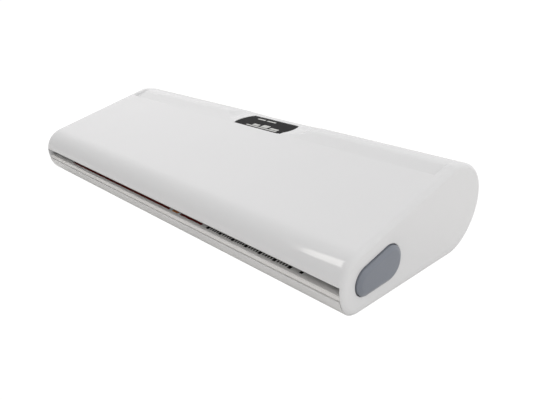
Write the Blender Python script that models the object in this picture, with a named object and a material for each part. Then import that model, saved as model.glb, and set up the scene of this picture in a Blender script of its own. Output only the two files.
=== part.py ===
"""Desktop pouch laminator, modelled as the assembly it is.

Design frame, in millimetres: X runs along the machine from its middle, with
the power button at +X; Y runs from the front edge of the nose to the rear;
Z runs up from the underside of the housings. The assembly empty moves that
frame so that the finished part stands on its feet, centred over the origin.
"""
import math

import bmesh
import bpy
from mathutils import Vector

MM = 0.001

# ---- driving dimensions, mm -------------------------------------------------
LENGTH = 350.0            # over the end walls
DEPTH = 144.9             # front of the nose to the rear
HEIGHT = 62.8             # underside to the crest
FOOT_HEIGHT = 2.0
BUTTON_PROUD = 2.5
END_FILLET = 2.5          # round between the end faces and the rest
WALL = 2.5
END_WALL = 2.0
SEAM = 0.3                # gap kept between neighbouring pieces

NOSE_Z = 20.3             # height of the foremost point
NOSE_BOTTOM_Y = 15.5      # where the nose meets the flat underside
NOSE_TOP = (14.8, 38.7)   # where the nose meets the sloping top
CREST_Y = 107.0
REAR_Z = 32.6             # height of the rearmost point
REAR_BOTTOM_Y = 113.2
REAR_UPPER_N = 2.165
REAR_LOWER_N = 1.886

LIP_Z = 22.0              # lower edge of the top cover at the feed slot
LOWER_LIP_Z = 13.2        # top of the base's front lip
EXIT_TOP_Z = 25.5
EXIT_BOTTOM_Z = 18.5
EXIT_HALF = 124.0

TROUGH_Y = (93.0, 118.0)
TROUGH_HALF = 168.0
TROUGH_MID_DEPTH = 0.7
TROUGH_END_DEPTH = 2.9
DISH_CENTRE = (11.0, 112.0)
DISH_HALF = (47.0, 20.0)
BADGE_FRONT = (92.8, 59.0)
BADGE_SLOPE = 0.0464
BADGE_THICK = 1.2

NIP_Z = 22.0
CENTRES = 18.0            # between the axes of a roller pair
SLEEVE_R = 8.85
SLEEVE_HALF = 118.0
SHAFT_R = 4.0
JOURNAL_R = 3.5
BORE_R = 3.8
FEED_Y = 58.0
PRESS_Y = 92.0
LOW_Z = NIP_Z - CENTRES / 2
HIGH_Z = NIP_Z + CENTRES / 2
FRAME_X = (127.0, 128.6)
GEAR_X = (132.0, 138.0)
ROLLER_TEETH = 18
IDLER_TEETH = 16
PINION_TEETH = 12
PINION_ANGLE = 20.0       # from the press gear towards the pinion, degrees
ROLLER_LIFT = 0.8

BUTTON_CIRCLES = ((20.5, 19.5, 8.7), (40.5, 22.3, 11.0))
FEET = ((-150.0, 24.0), (150.0, 24.0), (-150.0, 104.0), (150.0, 104.0))
BOSSES = ((-134.0, 30.0, 41.3), (134.0, 30.0, 41.3), (-162.5, 110.0, 57.4), (162.5, 110.0, 57.4))

# ---- scene ------------------------------------------------------------------
for old in list(bpy.data.objects):
    bpy.data.objects.remove(old, do_unlink=True)
collection = bpy.context.scene.collection


def material(name, colour, roughness, metallic=0.0):
    mat = bpy.data.materials.new(name)
    mat.use_nodes = True
    shader = mat.node_tree.nodes["Principled BSDF"]
    shader.inputs["Base Color"].default_value = (*colour, 1.0)
    shader.inputs["Roughness"].default_value = roughness
    shader.inputs["Metallic"].default_value = metallic
    return mat


WHITE = material("white_plastic", (0.80, 0.80, 0.81), 0.22)
WHITE_MATT = material("white_plastic_matt", (0.74, 0.74, 0.74), 0.45)
GREY = material("grey_button_plastic", (0.22, 0.25, 0.29), 0.38)
DARK = material("dark_badge", (0.035, 0.035, 0.037), 0.3)
BLACK = material("black_plastic", (0.03, 0.03, 0.03), 0.5)
STEEL = material("zinc_steel", (0.55, 0.56, 0.58), 0.35, 1.0)
SHAFT = material("ground_steel", (0.62, 0.62, 0.63), 0.2, 1.0)
SILICONE = material("silicone_rubber", (0.45, 0.10, 0.06), 0.6)
ALUMINIUM = material("aluminium", (0.75, 0.76, 0.77), 0.3, 1.0)
MICA = material("mica_element", (0.45, 0.36, 0.22), 0.55)
BRONZE = material("sintered_bronze", (0.50, 0.33, 0.16), 0.45, 1.0)
GEAR = material("acetal", (0.82, 0.80, 0.74), 0.4)
BOARD = material("circuit_board", (0.05, 0.20, 0.09), 0.4)
RUBBER = material("black_rubber", (0.025, 0.025, 0.025), 0.8)


def empty(name, at, parent=None):
    obj = bpy.data.objects.new(name, None)
    obj.location = Vector(at) * MM
    obj.parent = parent
    collection.objects.link(obj)
    return obj


ASSEMBLY = bpy.data.objects.new("laminator", None)
ASSEMBLY.location = Vector((-BUTTON_PROUD / 2, -DEPTH / 2, FOOT_HEIGHT)) * MM
collection.objects.link(ASSEMBLY)


def place(name, bm, mat, at=(0, 0, 0), parent=None):
    """Turns a bmesh in millimetres, drawn about `at`, into an object there."""
    bmesh.ops.recalc_face_normals(bm, faces=bm.faces)
    bmesh.ops.scale(bm, vec=(MM, MM, MM), verts=bm.verts)
    mesh = bpy.data.meshes.new(name)
    bm.to_mesh(mesh)
    bm.free()
    if mat is not None:
        mesh.materials.append(mat)
    mesh.shade_smooth()
    mesh.set_sharp_from_angle(angle=math.radians(32))
    obj = bpy.data.objects.new(name, mesh)
    obj.parent = parent or ASSEMBLY
    obj.location = Vector(at) * MM
    collection.objects.link(obj)
    return obj


def tool(target, bm, operation="DIFFERENCE", at=(0, 0, 0)):
    """A hidden body that cuts, or is welded to, the target."""
    helper = place(f"{target.name}_tool{len(target.modifiers)}", bm, None, at, target.parent)
    helper.hide_render = True
    helper.display_type = "WIRE"
    mod = target.modifiers.new(operation.lower(), "BOOLEAN")
    mod.operation = operation
    mod.solver = "EXACT"
    mod.object = helper
    return helper


# ---- bmesh builders ---------------------------------------------------------
def loft(rings, bm=None, close=True):
    """Skins a list of rings of equal length and caps both ends."""
    bm = bm or bmesh.new()
    made = [[bm.verts.new(p) for p in ring] for ring in rings]
    count = len(made[0])
    for low, high in zip(made, made[1:]):
        for i in range(count):
            j = (i + 1) % count
            bm.faces.new((low[i], low[j], high[j], high[i]))
    if close:
        bm.faces.new(made[0])
        bm.faces.new(made[-1])
    return bm


def prism_x(points, x0, x1, bm=None):
    return loft([[(x, y, z) for y, z in points] for x in (x0, x1)], bm)


def block(x0, x1, y0, y1, z0, z1, bm=None):
    return prism_x([(y0, z0), (y1, z0), (y1, z1), (y0, z1)], x0, x1, bm)


def slab(outline, top, thickness, bm=None):
    """A plate of a given plan, its top at height top(y)."""
    bm = bm or bmesh.new()
    return loft([[(x, y, top(y) - thickness) for x, y in outline], [(x, y, top(y)) for x, y in outline]], bm)


def circle(cy, cz, r, count, phase=0.0):
    return [(cy + r * math.cos(phase + 2 * math.pi * i / count), cz + r * math.sin(phase + 2 * math.pi * i / count)) for i in range(count)]


def rod_x(x0, x1, cy, cz, r, count=20, bm=None):
    return prism_x(circle(cy, cz, r, count), x0, x1, bm)


def rod_z(cx, cy, r, z0, z1, count=16, bm=None):
    ring = circle(cx, cy, r, count)
    return loft([[(x, y, z0) for x, y in ring], [(x, y, z1) for x, y in ring]], bm)


def rod_y(cx, cz, r, y0, y1, count=20, bm=None):
    ring = circle(cx, cz, r, count)
    return loft([[(x, y0, z) for x, z in ring], [(x, y1, z) for x, z in ring]], bm)


AXES = {
    "X": lambda a, u, v: (a, u, v),
    "Y": lambda a, u, v: (u, a, v),
    "Z": lambda a, u, v: (u, v, a),
}


def turned(profile, axis="X", count=24, hollow=False):
    """Turns a profile of (along, radius) points about an axis.

    A solid profile starts and ends on the axis with radius 0; a hollow one is
    a closed loop that never reaches it."""
    to = AXES[axis]
    bm = bmesh.new()
    rings = []
    for along, radius in profile:
        if radius == 0:
            rings.append([bm.verts.new(to(along, 0, 0))])
        else:
            rings.append([bm.verts.new(to(along, radius * math.cos(2 * math.pi * i / count), radius * math.sin(2 * math.pi * i / count))) for i in range(count)])
    pairs = list(zip(rings, rings[1:]))
    if hollow:
        pairs.append((rings[-1], rings[0]))
    for a, b in pairs:
        for i in range(count):
            j = (i + 1) % count
            if len(a) == 1:
                bm.faces.new((a[0], b[j], b[i]))
            elif len(b) == 1:
                bm.faces.new((a[i], a[j], b[0]))
            else:
                bm.faces.new((a[i], a[j], b[j], b[i]))
    return bm


def coil(radius, wire, z0, z1, turns, per_turn=10, sides=5):
    """A helical wire with closed ends, about the Z axis."""
    steps = int(turns * per_turn)
    rings = []
    for s in range(steps + 1):
        a = 2 * math.pi * s / per_turn
        centre = Vector((radius * math.cos(a), radius * math.sin(a), z0 + (z1 - z0) * s / steps))
        out = Vector((math.cos(a), math.sin(a), 0))
        tangent = Vector((-radius * math.sin(a), radius * math.cos(a), (z1 - z0) / (2 * math.pi * turns))).normalized()
        up = tangent.cross(out)
        rings.append([centre + wire * (math.cos(2 * math.pi * k / sides) * out + math.sin(2 * math.pi * k / sides) * up) for k in range(sides)])
    return loft(rings)


# ---- the outer profile ------------------------------------------------------
TOP_SLOPE = (HEIGHT - NOSE_TOP[1]) / (CREST_Y - NOSE_TOP[0])


def superellipse(t, n):
    return max(t, 0.0) ** (2.0 / n)


def profile(lower=7, upper=8, rear=11, under=9):
    """The side outline as a loop of (y, z), from the underside over the nose."""
    points = []
    for i in range(lower):
        t = i / lower * math.pi / 2
        points.append((NOSE_BOTTOM_Y * (1 - math.sin(t)), NOSE_Z * (1 - math.cos(t))))
    along = Vector((1, TOP_SLOPE)).normalized()
    p0, p3 = Vector((0, NOSE_Z)), Vector(NOSE_TOP)
    p1 = Vector((0, NOSE_Z + 0.55 * (NOSE_TOP[1] - NOSE_Z)))
    p2 = p3 - 0.55 * NOSE_TOP[0] * along
    for i in range(upper):
        t = i / upper
        p = (1 - t) ** 3 * p0 + 3 * t * (1 - t) ** 2 * p1 + 3 * t * t * (1 - t) * p2 + t ** 3 * p3
        points.append((p.x, p.y))
    points.append(NOSE_TOP)
    for i in range(rear):
        t = i / rear * math.pi / 2
        points.append((CREST_Y + (DEPTH - CREST_Y) * superellipse(math.sin(t), REAR_UPPER_N), REAR_Z + (HEIGHT - REAR_Z) * superellipse(math.cos(t), REAR_UPPER_N)))
    for i in range(under + 1):
        t = i / under * math.pi / 2
        points.append((REAR_BOTTOM_Y + (DEPTH - REAR_BOTTOM_Y) * superellipse(math.cos(t), REAR_LOWER_N), REAR_Z - REAR_Z * superellipse(math.sin(t), REAR_LOWER_N)))
    return points


def inset(loop, distance):
    """Moves each point of the outline inwards, square to its two edges."""
    if distance == 0:
        return list(loop)
    out = []
    count = len(loop)
    for i in range(count):
        a, b, c = (Vector(loop[(i + k) % count]) for k in (-1, 0, 1))
        first, second = (b - a).normalized(), (c - b).normalized()
        n1, n2 = Vector((first.y, -first.x)), Vector((second.y, -second.x))
        n = (n1 + n2).normalized()
        step = n * (distance / max(n.dot(n1), 0.5))
        out.append((b.x + step.x, b.y + step.y))
    return out


def top_z(y):
    """Height of the plain outer surface over the sloping top and the rear."""
    if y <= CREST_Y:
        return NOSE_TOP[1] + TOP_SLOPE * (y - NOSE_TOP[0])
    s = (y - CREST_Y) / (DEPTH - CREST_Y)
    return REAR_Z + (HEIGHT - REAR_Z) * (1 - s ** REAR_UPPER_N) ** (1 / REAR_UPPER_N)


def crossing(loop, z, rear):
    """The y at which the front or the rear of an outline reaches height z."""
    count = len(loop)
    for i in range(count):
        (ya, za), (yb, zb) = loop[i], loop[(i + 1) % count]
        if (za - z) * (zb - z) <= 0 and za != zb and (ya > DEPTH / 2) == rear:
            return ya + (yb - ya) * (z - za) / (zb - za)
    raise ValueError("no crossing")


OUTER = profile()
INNER = inset(OUTER, WALL)


def body_rings():
    rings = []
    steps = 4
    half = LENGTH / 2
    for side in (-1, 1):
        order = range(steps, -1, -1) if side < 0 else range(steps + 1)
        for k in order:
            a = math.pi / 2 * k / steps
            x = half - END_FILLET + END_FILLET * math.sin(a)
            ring = inset(OUTER, END_FILLET * (1 - math.cos(a)))
            rings.append([(side * x, y, z) for y, z in ring])
    return rings


# ---- upper housing ----------------------------------------------------------
def trough_depth(x):
    return TROUGH_MID_DEPTH + (TROUGH_END_DEPTH - TROUGH_MID_DEPTH) * min(abs(x) / TROUGH_HALF, 1.0) ** 1.3


def trough_tool():
    rings = []
    y0, y1 = TROUGH_Y
    for x in (-TROUGH_HALF, -126, -84, -42, 42, 84, 126, TROUGH_HALF):
        depth = trough_depth(x)
        ring = [(x, y0, top_z(y0) + 6), (x, y0, top_z(y0))]
        for s in (0.04, 0.2, 0.4, 0.6, 0.8):
            y = y0 + (y1 - y0) * s
            ring.append((x, y, top_z(y) - depth * (1 - s) ** 1.3))
        ring += [(x, y1 + 1.5, top_z(y1 + 1.5) + 0.25), (x, y1 + 1.5, top_z(y0) + 6)]
        rings.append(ring)
    return loft(rings)


def dish_z(y):
    """Floor of the dish round the badge: a plane that rolls over the crest."""
    flat = BADGE_FRONT[1] + BADGE_SLOPE * (y - BADGE_FRONT[0])
    fall = max(y - 116.0, 0.0)
    return flat - 0.0185 * fall * fall


def dish_tool():
    cx, cy = DISH_CENTRE
    a, b = DISH_HALF
    count = 28
    rings = []
    for share, lift in ((0.0, 0.0), (0.55, 0.0), (0.78, 0.0), (0.9, 0.35), (1.0, 0.98), (1.06, 1.25)):
        ring = []
        for i in range(count):
            t = 2 * math.pi * i / count
            u, v = math.cos(t), math.sin(t)
            x = cx + a * share * math.copysign(abs(u) ** (2 / 3.4), u)
            y = cy + b * share * math.copysign(abs(v) ** (2 / 3.4), v)
            low, high = dish_z(y), top_z(y)
            ring.append((x, y, low + (high - low) * lift + (0.5 if lift > 1 else 0.0)))
        rings.append(ring)
    bm = bmesh.new()
    hub = bm.verts.new((cx, cy, dish_z(cy)))
    made = [[bm.verts.new(p) for p in ring] for ring in rings[1:]]
    made.append([bm.verts.new((p[0], p[1], 70.0)) for p in rings[-1]])
    for i in range(count):
        j = (i + 1) % count
        bm.faces.new((hub, made[0][j], made[0][i]))
        for low, high in zip(made, made[1:]):
            bm.faces.new((low[i], low[j], high[j], high[i]))
    bm.faces.new(made[-1])
    return bm


def badge_outline(grow=0.0):
    """Straight front and rear edges and bowed ends."""
    left, right, front, rear = -14.0 - grow, 35.5 + grow, 92.8 - grow, 116.4 + grow
    bow = 3.2
    points = []
    steps = 6
    for i in range(steps + 1):
        s = i / steps
        points.append((right + bow * 4 * s * (1 - s), front + (rear - front) * s))
    for i in range(steps + 1):
        s = 1 - i / steps
        points.append((left - bow * 4 * s * (1 - s), front + (rear - front) * s))
    return points


def badge_plane(y):
    return BADGE_FRONT[1] + BADGE_SLOPE * (y - BADGE_FRONT[0]) - 0.1


def hull_of_circles(grow):
    """Outline round two circles and their outer tangents."""
    (y1, z1, r1), (y2, z2, r2) = BUTTON_CIRCLES
    phi = math.atan2(z2 - z1, y2 - y1)
    theta = math.acos((r1 - r2) / math.hypot(y2 - y1, z2 - z1))
    points = []
    for k in range(11):
        a = phi + theta + (2 * math.pi - 2 * theta) * k / 10
        points.append((y1 + (r1 + grow) * math.cos(a), z1 + (r1 + grow) * math.sin(a)))
    for k in range(11):
        a = phi - theta + 2 * theta * k / 10
        points.append((y2 + (r2 + grow) * math.cos(a), z2 + (r2 + grow) * math.sin(a)))
    return points


upper_housing = place("upper_housing", loft(body_rings()), WHITE)
cavity = [(-12.0, -12.0), (-12.0, LIP_Z), (crossing(INNER, LIP_Z, False), LIP_Z)]
cavity += [p for p in INNER if p[0] < 60 and p[1] > LIP_Z + 0.4]
cavity += [(85.0, 54.45), (97.0, 54.45), (106.0, 56.2), (118.0, 56.6)]
cavity += [p for p in INNER if p[0] > 118 and EXIT_TOP_Z + 0.4 < p[1] < 56.2]
cavity += [(crossing(INNER, EXIT_TOP_Z, True), EXIT_TOP_Z), (160.0, EXIT_TOP_Z), (160.0, -12.0)]
inside = LENGTH / 2 - END_WALL
tool(upper_housing, prism_x(cavity, -inside, inside))
tool(upper_housing, trough_tool())
tool(upper_housing, dish_tool())
tool(upper_housing, slab(badge_outline(0.4), lambda y: badge_plane(y) + 8, 8 + BADGE_THICK + 0.35))
tool(upper_housing, prism_x(hull_of_circles(0.45), inside - 2, LENGTH / 2 + 4))
posts = bmesh.new()
for x, y, top in BOSSES:
    rod_z(x, y, 4.0, 6.0, top, 16, posts)
for x, y in ((-4.0, 100.0), (26.0, 110.0)):
    rod_z(x, y, 2.2, 51.9, 57.0, 12, posts)
tool(upper_housing, posts, "UNION")
holes = bmesh.new()
for x, y, _ in BOSSES:
    rod_z(x, y, 1.3, 4.0, 17.0, 12, holes)
tool(upper_housing, holes)

# ---- lower housing ----------------------------------------------------------
REAR_TOP_Z = EXIT_TOP_Z - SEAM
pan_half = inside - SEAM


def pan_outline():
    def walk(loop):
        front = [p for p in loop if p[0] < 60 and p[1] < LOWER_LIP_Z - 0.4]
        rear = [p for p in loop if p[0] > 100 and p[1] < REAR_TOP_Z - 0.4]
        start = (crossing(loop, LOWER_LIP_Z, False), LOWER_LIP_Z)
        end = (crossing(loop, REAR_TOP_Z, True), REAR_TOP_Z)
        return [start] + sorted(front, key=lambda p: -p[1]) + sorted(rear, key=lambda p: p[1]) + [end]

    return walk(OUTER) + walk(INNER)[::-1]


lower_housing = place("lower_housing", prism_x(pan_outline(), -pan_half, pan_half), WHITE)
welds = bmesh.new()
for side in (-1, 1):
    block(*sorted((side * 170.9, side * 172.5)), 13, 118, 1.0, 8.0, welds)
for x, y, _ in BOSSES:
    rod_z(x, y, 5.0, 1.0, 5.6, 16, welds)
for x, y in ((-162.0, 44.0), (-138.0, 44.0), (-162.0, 100.0), (-138.0, 100.0)):
    rod_z(x, y, 2.5, 1.0, 7.6, 12, welds)
block(147, 159, 25, 37, 1.5, 13.7, welds)
block(-120, 120, 47.2, 48.6, 1.0, 12.0, welds)
block(-120, 120, 101.6, 103.0, 1.0, 12.0, welds)
tool(lower_housing, welds, "UNION")
GLAND_X, GLAND_Z = -146.0, 16.8
tool(lower_housing, rod_y(GLAND_X, GLAND_Z, 8.0, 129.0, 142.6, 24), "UNION")
cuts = bmesh.new()
block(-EXIT_HALF, EXIT_HALF, 130, 150, EXIT_BOTTOM_Z, 40, cuts)
rod_y(GLAND_X, GLAND_Z, 4.8, 120, 150, 20, cuts)
for x, y, _ in BOSSES:
    rod_z(x, y, 1.6, 3.0, 8.0, 12, cuts)
for x, y, _ in BOSSES:
    rod_z(x, y, 3.5, -3.0, 3.0, 16, cuts)
for x, y in FEET:
    rod_z(x, y, 2.8, -3.0, 2.3, 12, cuts)
tool(lower_housing, cuts)
tool(lower_housing, rod_y(GLAND_X, GLAND_Z, 6.8, 142.55, 152.0, 24))
vents = bmesh.new()
for i in range(12):
    x = -99.0 + 18.0 * i
    block(x - 1.6, x + 1.6, 62, 88, -3, 6, vents)
tool(lower_housing, vents)

# ---- film guides ------------------------------------------------------------
GUIDE_HALF = 126.3


def table_top(y):
    return 16.2 + 0.1125 * (y - 2.0)


table_plan = [(-172.7, 2.3), (172.7, 2.3), (172.7, 8.0), (163.0, 8.0), (163.0, 16.0), (GUIDE_HALF, 16.0), (GUIDE_HALF, 50.0),
              (-GUIDE_HALF, 50.0), (-GUIDE_HALF, 16.0), (-163.0, 16.0), (-163.0, 8.0), (-172.7, 8.0)]
infeed_table = place("infeed_table", slab(table_plan, table_top, 1.8), WHITE_MATT)
tool(infeed_table, block(-172.6, 172.6, 2.0, 3.8, 13.6, 15.6), "UNION")

guide_plan = [(-163.0, 4.0), (163.0, 4.0), (163.0, 14.8), (GUIDE_HALF, 14.8), (GUIDE_HALF, 50.5),
              (-GUIDE_HALF, 50.5), (-GUIDE_HALF, 14.8), (-163.0, 14.8)]
infeed_upper_guide = place("infeed_upper_guide", slab(guide_plan, lambda y: 26.1 - 0.0366 * (y - 4.0), 1.6), BLACK)
wings = bmesh.new()
for side in (-1, 1):
    block(*sorted((side * (GUIDE_HALF + 0.4), side * 162.6)), 13.2, 14.4, 18.3, 25.0, wings)
tool(infeed_upper_guide, wings, "UNION")

place("exit_lower_guide", prism_x([(99.5, 19.2), (99.5, 20.8), (128, 20.8), (136, 19.6), (136, 18.1), (128, 19.2)], -GUIDE_HALF + 4, GUIDE_HALF - 4), BLACK)
place("exit_upper_guide", prism_x([(99.5, 24.8), (99.5, 23.2), (128, 23.2), (136, 24.4), (136, 25.9), (128, 24.8)], -GUIDE_HALF + 4, GUIDE_HALF - 4), BLACK)

# ---- badge and indicator ----------------------------------------------------
place("badge_panel", slab(badge_outline(), badge_plane, BADGE_THICK), DARK)
indicator_board = place("indicator_board", block(-10, 32, 95, 115, 50.0, 51.6), BOARD)
lamps = bmesh.new()
for x in (6.0, 16.0):
    rod_z(x, 105.0, 1.5, 51.0, 54.2, 12, lamps)
tool(indicator_board, lamps, "UNION")

# ---- frames, tie bars, bushes ----------------------------------------------
plate = [(45, 2.8), (106, 2.8), (106, 46), (60, 46), (45, 40.5)]
for side, name in ((-1, "left"), (1, "right")):
    x0, x1 = sorted(side * x for x in FRAME_X)
    frame = place(f"{name}_side_frame", prism_x(plate, x0, x1), STEEL)
    fx0, fx1 = sorted((side * 119.5, side * 127.8))
    tool(frame, block(fx0, fx1, 68, 82, 2.9, 4.4), "UNION")
    cuts = bmesh.new()
    cx0, cx1 = sorted((side * 124, side * 132))
    for y in (FEED_Y, PRESS_Y):
        rod_x(cx0, cx1, y, LOW_Z, 5.3, 24, cuts)
        block(cx0, cx1, y - 4.5, y + 4.5, 24.6, 43.0, cuts)
    rod_x(cx0, cx1, 75.0, LOW_Z, 2.8, 16, cuts)
    tool(frame, cuts)
    for label, y in (("feed", FEED_Y), ("press", PRESS_Y)):
        bush = [(125.8, BORE_R), (125.8, 5.0), (128.9, 5.0), (128.9, 6.5), (130.2, 6.5), (130.2, BORE_R)]
        place(f"{label}_bush_{name}", turned([(side * a, r) for a, r in bush], "X", 20, True), BRONZE, (0, y, LOW_Z))
for name, y, z in (("front_tie_bar", 47.6, 38.4), ("rear_tie_bar", 103.0, 40.0)):
    place(name, rod_x(-126.6, 126.6, 0, 0, 2.8, 14), STEEL, (0, y, z))

# ---- heater -----------------------------------------------------------------
place("lower_heater_shoe", prism_x([(67.8, 18.6), (67.8, 20.6), (68.6, 21.2), (81.4, 21.2), (82.2, 20.6), (82.2, 18.6), (80.8, 18.2), (69.2, 18.2)], -126.4, 126.4), ALUMINIUM)
place("upper_heater_shoe", prism_x([(67.8, 25.4), (67.8, 23.4), (68.6, 22.8), (81.4, 22.8), (82.2, 23.4), (82.2, 25.4), (80.8, 25.8), (69.2, 25.8)], -126.4, 126.4), ALUMINIUM)
place("lower_heating_element", block(-112, 112, 70, 80, 15.9, 17.9), MICA)
place("upper_heating_element", block(-112, 112, 70, 80, 26.1, 28.1), MICA)
place("thermostat", turned([(28.4, 0), (28.4, 6.5), (31.0, 6.5), (31.0, 5.2), (34.5, 5.2), (35.0, 4.6), (35.0, 0)], "Z", 20), BLACK, (40, 75, 0))


# ---- gears ------------------------------------------------------------------
def tooth_ring(teeth, phase, backlash=0.34):
    """Outline of a spur gear of module 1 about the origin."""
    pitch_r = teeth / 2.0
    half_pitch = (math.pi / 2 - backlash) / 2
    points = []
    for k in range(teeth):
        centre = phase + 2 * math.pi * k / teeth
        root, tip = (pitch_r - 1.2, half_pitch + 0.36), (pitch_r + 0.9, half_pitch - 0.34)
        points += [(radius, centre - half / radius) for radius, half in (root, tip)]
        points += [(radius, centre + half / radius) for radius, half in (tip, root)]
    return [(r * math.cos(a), r * math.sin(a)) for r, a in points]


def mate(phase, teeth, direction, other):
    """Phase of a gear whose tooth gap meets this gear's teeth."""
    pitch = 2 * math.pi / teeth
    share = ((direction - phase) / pitch) % 1.0
    return direction + math.pi + (share + 0.5) * 2 * math.pi / other


def gear(name, teeth, phase, y, z, bore, parent):
    obj = place(name, prism_x(tooth_ring(teeth, phase), *GEAR_X), GEAR, (0, 0, 0), parent)
    tool(obj, rod_x(GEAR_X[0] - 2, GEAR_X[1] + 2, 0, 0, bore, 18))
    return obj


press_phase = 0.0
press_upper_phase = mate(press_phase, ROLLER_TEETH, math.pi / 2, ROLLER_TEETH)
idler_phase = mate(press_phase, ROLLER_TEETH, math.pi, IDLER_TEETH)
feed_phase = mate(idler_phase, IDLER_TEETH, math.pi, ROLLER_TEETH)
feed_upper_phase = mate(feed_phase, ROLLER_TEETH, math.pi / 2, ROLLER_TEETH)
pinion_phase = mate(press_phase, ROLLER_TEETH, math.radians(PINION_ANGLE), PINION_TEETH)

# ---- rollers: a steel shaft, a rubber sleeve and a gear each ----------------
shaft_profile = [(-131.0, 0), (-131.0, 3.1), (-130.6, JOURNAL_R), (-124.4, JOURNAL_R), (-124.4, SHAFT_R), (124.4, SHAFT_R),
                 (124.4, JOURNAL_R), (138.2, JOURNAL_R), (138.5, 3.1), (138.5, 0)]
sleeve_profile = [(-SLEEVE_HALF, 4.3), (-SLEEVE_HALF, SLEEVE_R - 0.6), (-SLEEVE_HALF + 0.6, SLEEVE_R), (SLEEVE_HALF - 0.6, SLEEVE_R),
                  (SLEEVE_HALF, SLEEVE_R - 0.6), (SLEEVE_HALF, 4.3)]
for name, y, z, phase in (("lower_feed", FEED_Y, LOW_Z, feed_phase), ("upper_feed", FEED_Y, HIGH_Z, feed_upper_phase),
                          ("lower_press", PRESS_Y, LOW_Z, press_phase), ("upper_press", PRESS_Y, HIGH_Z, press_upper_phase)):
    axle = empty(f"{name}_axis", (0, y, z), ASSEMBLY)
    place(f"{name}_shaft", turned(shaft_profile, "X", 16), SHAFT, (0, 0, 0), axle)
    place(f"{name}_sleeve", turned(sleeve_profile, "X", 24, True), SILICONE, (0, 0, 0), axle)
    gear(f"{name}_gear", ROLLER_TEETH, phase, y, z, BORE_R, axle)

idler_axis = empty("idler_axis", (0, 75.0, LOW_Z), ASSEMBLY)
gear("idler_gear", IDLER_TEETH, idler_phase, 75.0, LOW_Z, 2.8, idler_axis)
stud = [(125.2, 0), (125.2, 4.0), (126.7, 4.0), (126.7, 2.5), (138.4, 2.5), (138.4, 3.6), (139.4, 3.6), (139.4, 0)]
place("idler_stud", turned(stud, "X", 16), STEEL, (0, 75.0, LOW_Z))

pinion_y = PRESS_Y + (ROLLER_TEETH + PINION_TEETH) / 2 * math.cos(math.radians(PINION_ANGLE))
pinion_z = LOW_Z + (ROLLER_TEETH + PINION_TEETH) / 2 * math.sin(math.radians(PINION_ANGLE))
motor_axis = empty("motor_axis", (0, pinion_y, pinion_z), ASSEMBLY)
gear("motor_pinion", PINION_TEETH, pinion_phase, pinion_y, pinion_z, 2.8, motor_axis)
place("motor_shaft", turned([(130.8, 0), (130.8, 2.2), (131.1, 2.5), (142.9, 2.5), (142.9, 0)], "X", 16), SHAFT, (0, 0, 0), motor_axis)

# ---- motor ------------------------------------------------------------------
bracket = [(80, 2.9), (113, 2.9), (126, 18), (126, 36), (113, 45), (84, 45), (80, 40)]
motor_bracket = place("motor_bracket", prism_x(bracket, 140.4, 141.6), STEEL)
tool(motor_bracket, block(141.0, 150.0, 84, 100, 2.95, 4.4), "UNION")
tool(motor_bracket, rod_x(138, 144, pinion_y, pinion_z, 3.6, 16))
drive_motor = place("drive_motor", turned([(143.2, 0), (143.2, 20.0), (144.0, 21.0), (157.0, 21.0), (158.0, 20.0), (158.0, 0)], "X", 28), STEEL, (0, 102.0, 27.0))
tool(drive_motor, block(143.3, 144.5, -25, 25, -5, 5), "UNION", (0, 102.0, 27.0))

# ---- spring-loaded bearing blocks of the upper rollers ----------------------
for label, y in (("feed", FEED_Y), ("press", PRESS_Y)):
    carriage = empty(f"{label}_carriage", (0, y, HIGH_Z), ASSEMBLY)
    for side, name in ((-1, "left"), (1, "right")):
        shape = [(125.2, -6.2), (126.7, -6.2), (126.7, -4.2), (130.4, -4.2), (130.4, 4.2), (126.7, 4.2), (126.7, 6.2), (125.2, 6.2)]
        ring = [(side * a, b) for a, b in shape]
        obj = place(f"{label}_block_{name}", loft([[(a, b, -6.0) for a, b in ring], [(a, b, 6.0) for a, b in ring]]), BLACK, (0, 0, 0), carriage)
        cx0, cx1 = sorted((side * 123, side * 133))
        tool(obj, rod_x(cx0, cx1, 0, 0, BORE_R, 18))
        tool(obj, rod_z(side * 127.8, 0, 1.6, 5.0, 8.2, 10), "UNION")
        place(f"{label}_spring_{name}", coil(2.9, 0.4, 37.75, 42.25, 3.0), SHAFT, (side * 127.8, y, 0))

# ---- electrics --------------------------------------------------------------
control_board = place("control_board", block(-166, -134, 39, 106, 7.9, 9.5), BOARD)
parts = bmesh.new()
block(-162, -140, 52, 70, 9.0, 25.0, parts)
block(-160, -148, 76, 88, 9.0, 19.0, parts)
rod_z(-141.0, 82.0, 4.0, 9.0, 22.0, 14, parts)
block(-162, -142, 96, 102, 9.0, 16.0, parts)
tool(control_board, parts, "UNION")

button_home = empty("button_axis", (0, 31.0, 21.0), ASSEMBLY)
half = LENGTH / 2
rings = []
for x, grow in ((169.9, 1.8), (172.3, 1.8), (172.3, 0.0), (half + 0.9, 0.0), (half + 1.9, -1.0), (half + BUTTON_PROUD, -2.4)):
    rings.append([(x, y - 31.0, z - 21.0) for y, z in hull_of_circles(grow)])
power_button = place("power_button", loft(rings), GREY, (0, 0, 0), button_home)
tool(power_button, block(153.0, 170.9, -2, 2, -2, 2), "UNION")
switch_body = place("switch_body", block(146, 160, 24, 38, 14.0, 28.0), BLACK)
tool(switch_body, block(149, 163, 28.6, 33.4, 18.6, 23.4))

gland = [(131.0, 3.2), (131.0, 4.5), (142.9, 4.5), (142.9, 6.3), (144.2, 6.0), (144.2, 3.2)]
place("cord_gland", turned(gland, "Y", 20, True), RUBBER, (GLAND_X, 0, GLAND_Z))

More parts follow.
